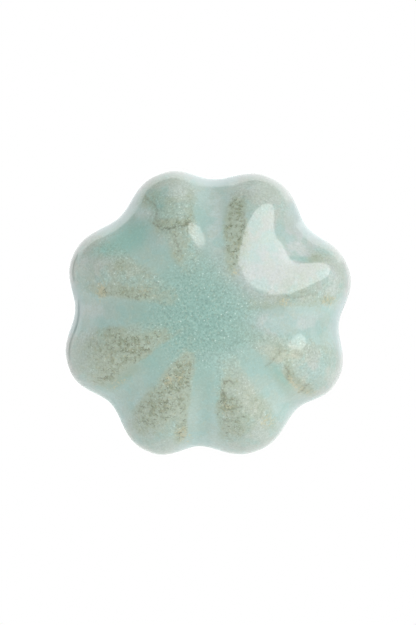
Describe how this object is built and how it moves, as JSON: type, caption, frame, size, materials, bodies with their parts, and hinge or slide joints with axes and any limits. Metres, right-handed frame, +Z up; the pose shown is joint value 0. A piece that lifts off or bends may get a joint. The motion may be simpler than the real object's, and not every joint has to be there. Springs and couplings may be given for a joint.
{
  "type": "cabinet knob",
  "caption": "Flower-shaped glazed ceramic drawer knob with a turned brass ferrule, a threaded stud, a washer and a mounting nut.",
  "frame": {"origin": "centre of the mounting face, where the ferrule meets the drawer front, on the stud's axis", "axes": "-Y points out of the drawer towards the hand, +Y along the stud into the drawer, +Z up"},
  "size_m": [0.0393, 0.0535, 0.0391],
  "materials": {
    "glazed_stoneware": "gloss celadon glaze over iron-speckled stoneware",
    "setting_cement": "matte grey cement",
    "insert_brass": "machined and knurled",
    "ferrule_brass": "turned and lightly aged",
    "zinc_plated_steel": "bright zinc plating",
    "gasket_rubber": "matte black"
  },
  "bodies": {
    "knob": {"ceramic_head": "glazed_stoneware", "anchor_cement": "setting_cement", "threaded_insert": "insert_brass", "stud": "zinc_plated_steel", "gasket": "gasket_rubber", "base_ferrule": "ferrule_brass", "retaining_nut": "zinc_plated_steel"},
    "washer": {"washer": "zinc_plated_steel"},
    "nut": {"mounting_nut": "zinc_plated_steel"}
  },
  "joints": [
    {"name": "washer_slide", "type": "slide", "parent": "knob", "child": "washer", "axis": [0, 1, 0], "range_m": [-0.0077, 0.0147]},
    {"name": "nut_spin", "type": "hinge", "parent": "washer", "child": "nut", "pos_m": [0, 0.0206, 0], "axis": [0, 1, 0], "range_deg": [-3961, 7561]}
  ],
  "couplings": [
    {"joint": "nut_spin", "follows": "washer_slide", "rad_per_m": 8976}
  ]
}
